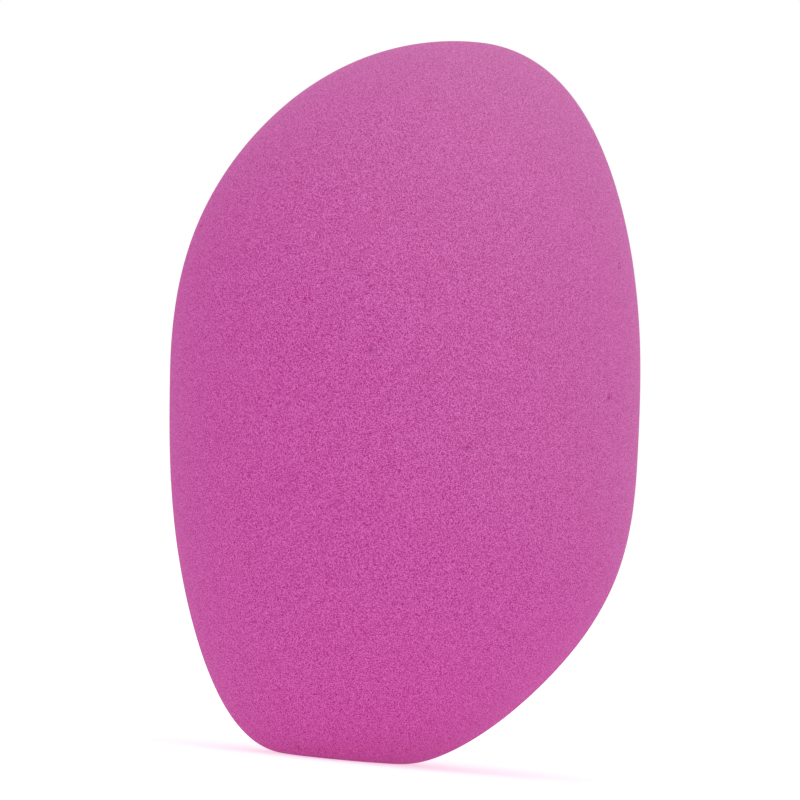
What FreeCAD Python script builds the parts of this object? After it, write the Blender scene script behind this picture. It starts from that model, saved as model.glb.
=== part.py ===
import FreeCAD, Part
import math
import os

# Makeup sponge: a soft foam egg that leans a little and stands on a small flat base.
# It is cast in one shot in a closed mould. Against the mould wall the foam sets as a fine, dense skin,
# and inside it stays soft and open-celled, so skin and core are two layers that meet face to face.
# Frame: +Z up, origin on the standing surface under the middle of the width, +X the side that the crown
# leans to, and -Y the face that is seen from the front.

# Overall sizes in millimetres
HEIGHT = 62.0
WIDTH = 40.7
DEPTH = 38.5
SKIN_THICKNESS = 1.0

# The flat base: its width, how far its middle stands to the left of the origin, and how far the round
# that eases it into the sides is drawn out
BASE_FLAT_WIDTH = 9.8
BASE_SETBACK = 2.5
BASE_ROUND_REACH = 4.6

# The wall above the base, as control stations from low to high: how high they are in the height,
# how far left and right of the middle in the width, and how far front and back in the depth
WALL_SHARES = (
    (0.214, -0.448, 0.507, 0.485),
    (0.453, -0.494, 0.502, 0.502),
    (0.769, -0.524, 0.47, 0.502),
)

# The crown: how far its level tangents are drawn out to the left and right, and front and back,
# and where in the width its highest point is
CROWN_LEFT_SHARE = -0.175
CROWN_RIGHT_SHARE = 0.269
CROWN_DEPTH_SHARE = 0.225
CROWN_TOP_SHARE = 0.083

# A quarter oval is a rational curve of degree 2, and the wall from base to crown a spline of degree 3
OVAL_DEGREE = 2
OVAL_WEIGHTS = (1, math.sqrt(0.5), 1)
WALL_DEGREE = 3


def wall_stations(inset):
    """Control stations from base to crown, set in from the mould: height, left, right and half depth."""
    width = WIDTH - 2 * inset
    depth = DEPTH - 2 * inset
    height = HEIGHT - 2 * inset
    crown = HEIGHT - inset
    flat = BASE_FLAT_WIDTH / 2
    drawn_out = flat + BASE_ROUND_REACH - inset
    base = [
        (inset, -BASE_SETBACK - half, -BASE_SETBACK + half, half * DEPTH / WIDTH)
        for half in (flat, drawn_out)
    ]
    wall = [
        (inset + up * height, left * width, right * width, deep * depth)
        for up, left, right, deep in WALL_SHARES
    ]
    top = CROWN_TOP_SHARE * width
    dome = [
        (crown, CROWN_LEFT_SHARE * width, CROWN_RIGHT_SHARE * width, CROWN_DEPTH_SHARE * depth),
        (crown, top, top, 0),
    ]
    return base + wall + dome


def wall_quarter(stations, to_right, to_back):
    """A quarter of the wall, from one side round to the front or back: each level of it is a quarter oval."""
    poles = [[], [], []]
    for up, left, right, half_depth in stations:
        side = right if to_right else left
        reach = half_depth if to_back else -half_depth
        poles[0].append(FreeCAD.Vector(side, 0, up))
        poles[1].append(FreeCAD.Vector(side, reach, up))
        poles[2].append(FreeCAD.Vector((left + right) / 2, reach, up))
    spans = len(stations) - WALL_DEGREE
    quarter = Part.BSplineSurface()
    quarter.buildFromPolesMultsKnots(
        poles,
        [OVAL_DEGREE + 1, OVAL_DEGREE + 1],
        [WALL_DEGREE + 1] + [1] * (spans - 1) + [WALL_DEGREE + 1],
        [0, 1],
        [knot / spans for knot in range(spans + 1)],
        False,
        False,
        OVAL_DEGREE,
        WALL_DEGREE,
        [[weight] * len(stations) for weight in OVAL_WEIGHTS],
    )
    return quarter


def sponge_form(inset):
    """The closed form of the sponge, set in from the mould by the given thickness."""
    stations = wall_stations(inset)
    quarters = [wall_quarter(stations, right, back) for right in (True, False) for back in (True, False)]
    base_rim = [quarter.vIso(0).toShape() for quarter in quarters]
    base = Part.Face(Part.Wire(Part.sortEdges(base_rim)[0]))
    shell = Part.makeShell([quarter.toShape() for quarter in quarters] + [base])
    shell.sewShape()
    form = Part.Solid(shell)
    if form.Volume < 0:
        form.reverse()
    return form


def moulded_skin():
    """The dense outer layer, closed all round the core."""
    return sponge_form(0).cut(sponge_form(SKIN_THICKNESS)).Solids[0]


def foam_core():
    """The soft open-celled foam that fills the skin."""
    return sponge_form(SKIN_THICKNESS)


os.makedirs("parts", exist_ok=True)
for name, shape in (("moulded_skin", moulded_skin()), ("foam_core", foam_core())):
    shape.exportStep("parts/" + name + ".step")
    print(name, "valid" if shape.isValid() else "invalid", round(shape.Volume), "mm3")
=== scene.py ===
import math

import bpy
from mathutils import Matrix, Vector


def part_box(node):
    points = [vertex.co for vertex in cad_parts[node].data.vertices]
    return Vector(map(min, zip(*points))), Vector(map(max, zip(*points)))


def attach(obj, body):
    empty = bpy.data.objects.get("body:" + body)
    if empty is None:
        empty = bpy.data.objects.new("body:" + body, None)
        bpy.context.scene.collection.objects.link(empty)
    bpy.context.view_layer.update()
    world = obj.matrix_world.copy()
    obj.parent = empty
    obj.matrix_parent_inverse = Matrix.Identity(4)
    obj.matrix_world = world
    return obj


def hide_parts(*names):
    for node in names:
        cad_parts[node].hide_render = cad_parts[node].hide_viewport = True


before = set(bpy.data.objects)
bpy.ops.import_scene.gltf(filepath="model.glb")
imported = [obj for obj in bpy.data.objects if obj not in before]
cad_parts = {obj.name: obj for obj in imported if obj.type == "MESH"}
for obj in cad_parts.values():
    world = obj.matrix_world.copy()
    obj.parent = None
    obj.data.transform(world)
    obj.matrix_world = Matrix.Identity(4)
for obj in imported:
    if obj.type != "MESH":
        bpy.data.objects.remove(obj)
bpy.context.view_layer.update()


# Foam core: the soft inside of the sponge, open-celled polyurethane foam dyed through in one pink.
# It rises in a closed mould in the same shot as the skin, so it fills the skin face to face
# and nothing fastens it.

MM = 0.001
skin_low, skin_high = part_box("moulded_skin")
core_low, core_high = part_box("foam_core")
height = skin_high.z - skin_low.z
width = skin_high.x - skin_low.x
depth = skin_high.y - skin_low.y
skin_thickness = core_low.z - skin_low.z

base_flat_width = 9.8 * MM
base_setback = 2.5 * MM
base_round_reach = 4.6 * MM
wall_shares = (
    (0.214, -0.448, 0.507, 0.485),
    (0.453, -0.494, 0.502, 0.502),
    (0.769, -0.524, 0.47, 0.502),
)
crown_left_share = -0.175
crown_right_share = 0.269
crown_depth_share = 0.225
crown_top_share = 0.083


def wall_stations(inset):
    """Control stations from base to crown, set in from the mould: left, right, height and half depth."""
    wide = width - 2 * inset
    deep = depth - 2 * inset
    tall = height - 2 * inset
    flat = base_flat_width / 2
    stations = []
    for half in (flat, flat + base_round_reach - inset):
        stations.append((-base_setback - half, -base_setback + half, inset, half * depth / width))
    for up, left, right, front in wall_shares:
        stations.append((left * wide, right * wide, inset + up * tall, front * deep))
    crown = height - inset
    top = crown_top_share * wide
    stations.append((crown_left_share * wide, crown_right_share * wide, crown, crown_depth_share * deep))
    stations.append((top, top, crown, 0))
    return stations


def wall_profile(name, *insets):
    """A curve with a spline for each layer: x is its left side, y its right side, z the height,
    and the radius is half its depth."""
    curve = bpy.data.curves.new(name, "CURVE")
    curve.dimensions = "3D"
    for inset in insets:
        stations = wall_stations(inset)
        spline = curve.splines.new("NURBS")
        spline.points.add(len(stations) - 1)
        for point, (left, right, up, half_depth) in zip(spline.points, stations):
            point.co = (left, right, up, 1)
            point.radius = half_depth
        spline.order_u = 4
        spline.use_endpoint_u = True
        spline.resolution_u = 128
    profile = bpy.data.objects.new(name, curve)
    bpy.context.scene.collection.objects.link(profile)
    return profile


def add_node(tree, kind, *values, sockets=None, **settings):
    """Adds a node with its settings, fills or links its inputs by order or name, and gives its outputs."""
    node = tree.nodes.new(kind)
    for name, value in settings.items():
        setattr(node, name, value)
    for socket, value in [*enumerate(values), *(sockets or {}).items()]:
        if isinstance(value, bpy.types.NodeSocket):
            tree.links.new(value, node.inputs[socket])
        elif value is not None:
            node.inputs[socket].default_value = value
    return node.outputs


def new_tree(name, **inputs):
    """An empty Geometry Nodes tree with named inputs and one mesh output, and its input node's outputs."""
    tree = bpy.data.node_groups.new(name, "GeometryNodeTree")
    for label, kind in inputs.items():
        tree.interface.new_socket(label, in_out="INPUT", socket_type="NodeSocket" + kind)
    tree.interface.new_socket("Mesh", in_out="OUTPUT", socket_type="NodeSocketGeometry")
    return tree, add_node(tree, "NodeGroupInput")


# The form: an evenly divided block is swung on to a ball, and each of its points to the oval at its height.
form_tree, given = new_tree("sponge_form", Sides="Geometry", Layer="Int", Divisions="Int", Flat_Share="Float")
block = add_node(form_tree, "GeometryNodeMeshCube", (2, 2, 2), *[given["Divisions"]] * 3)["Mesh"]
place = add_node(form_tree, "GeometryNodeInputPosition")[0]
swing = add_node(
    form_tree, "ShaderNodeVectorMath", place, sockets={"Scale": math.pi / 4}, operation="SCALE"
)[0]
spread = add_node(form_tree, "ShaderNodeVectorMath", swing, operation="TANGENT")[0]
ray = add_node(form_tree, "ShaderNodeVectorMath", spread, operation="NORMALIZE")[0]
ray_x, ray_y, ray_z = add_node(form_tree, "ShaderNodeSeparateXYZ", ray)
level_ray = add_node(form_tree, "ShaderNodeCombineXYZ", ray_x, ray_y)[0]
around = add_node(form_tree, "ShaderNodeVectorMath", level_ray, operation="NORMALIZE")[0]
across, along, _ = add_node(form_tree, "ShaderNodeSeparateXYZ", around)
down = add_node(form_tree, "ShaderNodeMath", ray_z, -1.0, operation="MULTIPLY")[0]
angle = add_node(form_tree, "ShaderNodeMath", down, operation="ARCCOSINE")[0]
rise = add_node(form_tree, "ShaderNodeMath", angle, math.pi, operation="DIVIDE")[0]
on_flat = add_node(form_tree, "ShaderNodeMapRange", rise, 0.0, given["Flat_Share"])[0]
on_wall = add_node(form_tree, "ShaderNodeMapRange", rise, given["Flat_Share"], 1.0)[0]
radius = add_node(form_tree, "GeometryNodeInputRadius")[0]
oval = add_node(
    form_tree,
    "GeometryNodeSampleCurve",
    given["Sides"],
    radius,
    on_wall,
    sockets={"Curve Index": given["Layer"]},
)
left, right, up = add_node(form_tree, "ShaderNodeSeparateXYZ", oval["Position"])
both = add_node(form_tree, "ShaderNodeMath", left, right, operation="ADD")[0]
middle = add_node(form_tree, "ShaderNodeMath", both, 2.0, operation="DIVIDE")[0]
to_right = add_node(form_tree, "ShaderNodeMath", right, middle, operation="SUBTRACT")[0]
half_width = add_node(form_tree, "ShaderNodeMath", to_right, on_flat, operation="MULTIPLY")[0]
half_depth = add_node(form_tree, "ShaderNodeMath", oval["Value"], on_flat, operation="MULTIPLY")[0]
spot_x = add_node(form_tree, "ShaderNodeMath", half_width, across, middle, operation="MULTIPLY_ADD")[0]
spot_y = add_node(form_tree, "ShaderNodeMath", half_depth, along, operation="MULTIPLY")[0]
spot = add_node(form_tree, "ShaderNodeCombineXYZ", spot_x, spot_y, up)[0]
formed = add_node(form_tree, "GeometryNodeSetPosition", block, None, spot)[0]
smooth = add_node(form_tree, "GeometryNodeSetShadeSmooth", formed)[0]
add_node(form_tree, "NodeGroupOutput", smooth)

# The relief: the surface sinks in soft waves and in scattered pinholes, and never rises past the mould.
relief_tree, given = new_tree(
    "foam_relief",
    Mesh="Geometry",
    Wave_Length="Float",
    Wave_Depth="Float",
    Pinhole_Spacing="Float",
    Pinhole_Radius="Float",
    Pinhole_Depth="Float",
    Seed="Int",
)
place = add_node(relief_tree, "GeometryNodeInputPosition")[0]
normal = add_node(relief_tree, "GeometryNodeInputNormal")[0]
waves_per_metre = add_node(relief_tree, "ShaderNodeMath", 1.0, given["Wave_Length"], operation="DIVIDE")[0]
wave = add_node(relief_tree, "ShaderNodeTexNoise", sockets={"Vector": place, "Scale": waves_per_metre})[0]
sunk = add_node(relief_tree, "ShaderNodeMath", wave, given["Wave_Depth"], operation="MULTIPLY")[0]
per_area = add_node(relief_tree, "ShaderNodeMath", given["Pinhole_Spacing"], -2.0, operation="POWER")[0]
pinholes = add_node(
    relief_tree,
    "GeometryNodeDistributePointsOnFaces",
    given["Mesh"],
    sockets={"Distance Min": given["Pinhole_Spacing"], "Density Max": per_area, "Seed": given["Seed"]},
    distribute_method="POISSON",
)["Points"]
away = add_node(relief_tree, "GeometryNodeProximity", pinholes, target_element="POINTS")["Distance"]
pit = add_node(
    relief_tree,
    "ShaderNodeMapRange",
    away,
    0.0,
    given["Pinhole_Radius"],
    given["Pinhole_Depth"],
    0.0,
    interpolation_type="SMOOTHSTEP",
)[0]
sink = add_node(relief_tree, "ShaderNodeMath", sunk, pit, operation="ADD")[0]
inward = add_node(relief_tree, "ShaderNodeMath", sink, -1.0, operation="MULTIPLY")[0]
offset = add_node(
    relief_tree, "ShaderNodeVectorMath", normal, sockets={"Scale": inward}, operation="SCALE"
)[0]
worn = add_node(relief_tree, "GeometryNodeSetPosition", given["Mesh"], None, None, offset)[0]
add_node(relief_tree, "NodeGroupOutput", worn)


def linear(colour):
    """An sRGB hex colour as linear red, green, blue and alpha."""
    parts = [int(colour[i : i + 2], 16) / 255 for i in (1, 3, 5)]
    return (*[p / 12.92 if p <= 0.04045 else ((p + 0.055) / 1.055) ** 2.4 for p in parts], 1)


def new_material(name):
    """A material with an empty node tree."""
    material = bpy.data.materials.new(name)
    material.use_nodes = True
    material.node_tree.nodes.clear()
    return material, material.node_tree


def made_mesh(profile, name, tree, **inputs):
    """The mesh that a Geometry Nodes tree makes on a profile, as a plain piece of its own."""
    maker = profile.modifiers.new(name, "NODES")
    maker.node_group = tree
    for socket in tree.interface.items_tree:
        if socket.name in inputs:
            maker[socket.identifier] = inputs[socket.name]
    seen = profile.evaluated_get(bpy.context.evaluated_depsgraph_get())
    mesh = bpy.data.meshes.new_from_object(seen)
    mesh.materials.pop(index=0)  # the empty slot that a bare form starts with
    profile.modifiers.remove(maker)
    piece = bpy.data.objects.new(name, mesh)
    bpy.context.scene.collection.objects.link(piece)
    return piece


# Open-celled foam: openings of about a millimetre between paler walls, with painted shade that turns the
# openings a deeper pink, rough and matte.
open_cell_size = 0.9 * MM
open_cell_relief = 0.2 * MM
core_foam, tree = new_material("open_celled_polyurethane_foam")
place = add_node(tree, "ShaderNodeTexCoord")["Object"]
cells = add_node(tree, "ShaderNodeTexVoronoi", sockets={"Vector": place, "Scale": 1 / open_cell_size})
tone = add_node(tree, "ShaderNodeMapRange", cells["Distance"], 0.0, 0.7)[0]
# The dark end of this mix is painted shade inside the cell openings, and the light end is the paler wall
# colour.
colour = add_node(tree, "ShaderNodeMixRGB", tone, linear("#8E2A70"), linear("#C958A6"))[0]
bump = add_node(tree, "ShaderNodeBump", sockets={"Height": tone, "Distance": open_cell_relief})[0]
surface = add_node(
    tree, "ShaderNodeBsdfPrincipled", sockets={"Base Color": colour, "Roughness": 0.9, "Normal": bump}
)[0]
add_node(tree, "ShaderNodeOutputMaterial", surface)

outer_layer, inner_layer = 0, 1
core_tree, given = new_tree(
    "foam_core", Sides="Geometry", Divisions="Int", Flat_Share="Float", Foam="Material"
)
filling = add_node(
    core_tree,
    "GeometryNodeGroup",
    given["Sides"],
    inner_layer,
    given["Divisions"],
    given["Flat_Share"],
    node_tree=form_tree,
)[0]
whole = add_node(core_tree, "GeometryNodeRealizeInstances", filling)[0]
dyed = add_node(core_tree, "GeometryNodeSetMaterial", whole, None, given["Foam"])[0]
add_node(core_tree, "NodeGroupOutput", dyed)

flat_share = 0.06
profile = wall_profile("wall_profile", 0, skin_thickness)
core_divisions = 40
core = made_mesh(
    profile, "sponge_core", core_tree, Divisions=core_divisions, Flat_Share=flat_share, Foam=core_foam
)
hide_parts("foam_core")
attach(core, "root")


# Moulded skin: the dense outside of the same casting, about a millimetre of polyurethane foam
# with very fine cells that set against the mould wall. It closes round the core without a seam,
# and nothing fastens it.

# Fine-celled foam: pale cell walls with painted glints and deeper pink openings with painted shade, too small
# to tell apart, so it looks matte and evenly grained, with a scatter of larger open pores painted dark as
# shade in them.
fine_cell_size = 0.075 * MM
fine_cell_relief = 0.015 * MM
pore_spacing = 0.5 * MM
pattern_turn = (0.5, 0.7, 0.3)  # keeps the pattern's own grid askew to the surface
skin_foam, tree = new_material("moulded_polyurethane_foam_matte")
place = add_node(tree, "ShaderNodeTexCoord")["Object"]
turned = add_node(tree, "ShaderNodeMapping", place, None, pattern_turn)[0]
grain = add_node(
    tree, "ShaderNodeTexNoise", sockets={"Vector": turned, "Scale": 1 / fine_cell_size, "Detail": 0.0}
)[0]
walls = add_node(tree, "ShaderNodeMapRange", grain, 0.34, 0.66)[0]
pores = add_node(tree, "ShaderNodeTexVoronoi", sockets={"Vector": turned, "Scale": 1 / pore_spacing})
# The larger open pores show as dark specks, which are painted shade inside the pores.
hole = add_node(
    tree, "ShaderNodeMapRange", pores["Distance"], 0.10, 0.25, 1.0, 0.0, interpolation_type="SMOOTHSTEP"
)[0]
chance = add_node(tree, "ShaderNodeSeparateColor", pores["Color"])[0]
open_pore = add_node(tree, "ShaderNodeMath", hole, chance, operation="MULTIPLY")[0]
closed = add_node(tree, "ShaderNodeMath", 1.0, open_pore, operation="SUBTRACT")[0]
tone = add_node(tree, "ShaderNodeMath", walls, closed, operation="MULTIPLY")[0]
# Painted shade at the dark end, for the openings and open pores, and painted glints mixed into the pale wall
# colour at the light end.
grain_with_painted_shade_and_glints = add_node(tree, "ShaderNodeMixRGB", tone, linear("#B90984"), linear("#ED76CF"))[0]
bump = add_node(tree, "ShaderNodeBump", sockets={"Height": tone, "Distance": fine_cell_relief})[0]
surface = add_node(
    tree, "ShaderNodeBsdfPrincipled", sockets={"Base Color": grain_with_painted_shade_and_glints, "Roughness": 0.9, "Normal": bump}
)[0]
add_node(tree, "ShaderNodeOutputMaterial", surface)

skin_tree, given = new_tree(
    "moulded_skin",
    Sides="Geometry",
    Divisions="Int",
    Inner_Divisions="Int",
    Flat_Share="Float",
    Wave_Length="Float",
    Wave_Depth="Float",
    Pinhole_Spacing="Float",
    Pinhole_Radius="Float",
    Pinhole_Depth="Float",
    Seed="Int",
    Foam="Material",
)
outside = add_node(
    skin_tree,
    "GeometryNodeGroup",
    given["Sides"],
    outer_layer,
    given["Divisions"],
    given["Flat_Share"],
    node_tree=form_tree,
)[0]
pitted = add_node(
    skin_tree,
    "GeometryNodeGroup",
    outside,
    given["Wave_Length"],
    given["Wave_Depth"],
    given["Pinhole_Spacing"],
    given["Pinhole_Radius"],
    given["Pinhole_Depth"],
    given["Seed"],
    node_tree=relief_tree,
)[0]
hollow = add_node(
    skin_tree,
    "GeometryNodeGroup",
    given["Sides"],
    inner_layer,
    given["Inner_Divisions"],
    given["Flat_Share"],
    node_tree=form_tree,
)[0]
inside = add_node(skin_tree, "GeometryNodeFlipFaces", hollow)[0]
joined = add_node(skin_tree, "GeometryNodeJoinGeometry", pitted)[0]
skin_tree.links.new(inside, joined.node.inputs[0])
whole = add_node(skin_tree, "GeometryNodeRealizeInstances", joined)[0]
dyed = add_node(skin_tree, "GeometryNodeSetMaterial", whole, None, given["Foam"])[0]
add_node(skin_tree, "NodeGroupOutput", dyed)

skin = made_mesh(
    profile,
    "sponge_skin",
    skin_tree,
    Divisions=120,
    Inner_Divisions=core_divisions,
    Flat_Share=flat_share,
    Wave_Length=8 * MM,
    Wave_Depth=0.05 * MM,
    Pinhole_Spacing=11 * MM,
    Pinhole_Radius=0.42 * MM,
    Pinhole_Depth=0.35 * MM,
    Seed=3,
    Foam=skin_foam,
)
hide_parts("moulded_skin")
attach(skin, "root")
bpy.data.objects.remove(profile)


# The floor that the sponge stands on, plain white and matte like a lit table. It is white to the camera
# and keeps the sponge's shadow, and it is clear from below.

floor_paint, tree = new_material("matte_white_floor")
seen = add_node(tree, "ShaderNodeLightPath")
paint = add_node(tree, "ShaderNodeBsdfDiffuse", linear("#E8E8E8"))[0]
shiny = add_node(
    tree, "ShaderNodeMath", seen["Is Glossy Ray"], seen["Is Transmission Ray"], operation="MAXIMUM"
)[0]
shown = add_node(tree, "ShaderNodeMath", seen["Is Camera Ray"], shiny, operation="MAXIMUM")[0]
lift = add_node(tree, "ShaderNodeMapRange", shown, 0.0, 1.0, 0.34, 0.58)[0]
glow = add_node(tree, "ShaderNodeEmission", None, lift)[0]
lit = add_node(tree, "ShaderNodeAddShader", paint, glow)[0]
clear = add_node(tree, "ShaderNodeBsdfTransparent")[0]
behind = add_node(tree, "ShaderNodeNewGeometry")["Backfacing"]
one_sided = add_node(tree, "ShaderNodeMixShader", behind, lit, clear)[0]
add_node(tree, "ShaderNodeOutputMaterial", one_sided)

floor_half = 2.0
floor_setback = 0.5  # keeps the seam between the floor's two triangles clear of the sponge
floor_mesh = bpy.data.meshes.new("floor")
sides = ((-1, -1), (1, -1), (1, 1), (-1, 1))
corners = [(x * floor_half, y * floor_half + floor_setback, 0) for x, y in sides]
floor_mesh.from_pydata(corners, [], [(0, 1, 2, 3)])
floor_mesh.materials.append(floor_paint)
floor = bpy.data.objects.new("floor", floor_mesh)
bpy.context.scene.collection.objects.link(floor)


# Soft studio light: an even white surround, a soft lamp above the camera, and a broad panel above
# on the right that only adds the pale bloom on the foam.

world = bpy.data.worlds.new("white_surround")
world.use_nodes = True
tree = world.node_tree
tree.nodes.clear()
seen = add_node(tree, "ShaderNodeLightPath")
shiny = add_node(
    tree, "ShaderNodeMath", seen["Is Glossy Ray"], seen["Is Transmission Ray"], operation="MAXIMUM"
)[0]
shown = add_node(tree, "ShaderNodeMath", seen["Is Camera Ray"], shiny, operation="MAXIMUM")[0]
level = add_node(tree, "ShaderNodeMapRange", shown, 0.0, 1.0, 0.65, 1.0)[0]
sky = add_node(tree, "ShaderNodeBackground", (1, 1, 1, 1), level)[0]
add_node(tree, "ShaderNodeOutputWorld", sky)
bpy.context.scene.world = world

lamp_size = 0.35
lamp_distance = 0.6
sponge_middle = skin_low.lerp(skin_high, 0.5)
for name, turn, raised, watts, only_gloss in (("key", 0, 65, 0.42, False), ("bloom", 60, 65, 10.2, True)):
    lamp_data = bpy.data.lights.new(name, "AREA")
    lamp_data.shape = "DISK"
    lamp_data.size = lamp_size
    lamp_data.energy = watts
    lamp = bpy.data.objects.new(name, lamp_data)
    turn = math.radians(turn)
    raised = math.radians(raised)
    lamp.location = (math.sin(turn) * math.cos(raised), -math.cos(turn) * math.cos(raised), math.sin(raised))
    lamp.rotation_euler = lamp.location.to_track_quat("Z", "Y").to_euler()
    lamp.location = sponge_middle + lamp.location * lamp_distance
    lamp.visible_diffuse = not only_gloss
    bpy.context.scene.collection.objects.link(lamp)


# The camera looks at the sponge's front from far away, level and turned a little about its line of sight.

camera_distance = 1.0
picture_width = 68.3 * MM
camera_turn = math.radians(-5.4)
camera_data = bpy.data.cameras.new("camera")
camera_data.lens = camera_data.sensor_width * camera_distance / picture_width
camera_data.clip_start = 0.1
camera_data.clip_end = 10.0
camera = bpy.data.objects.new("camera", camera_data)
camera.location = (-0.4 * MM, -camera_distance, 30.95 * MM)
camera.rotation_euler = (math.pi / 2, camera_turn, 0)
bpy.context.scene.collection.objects.link(camera)
bpy.context.scene.camera = camera
bpy.context.scene.view_settings.view_transform = "Standard"
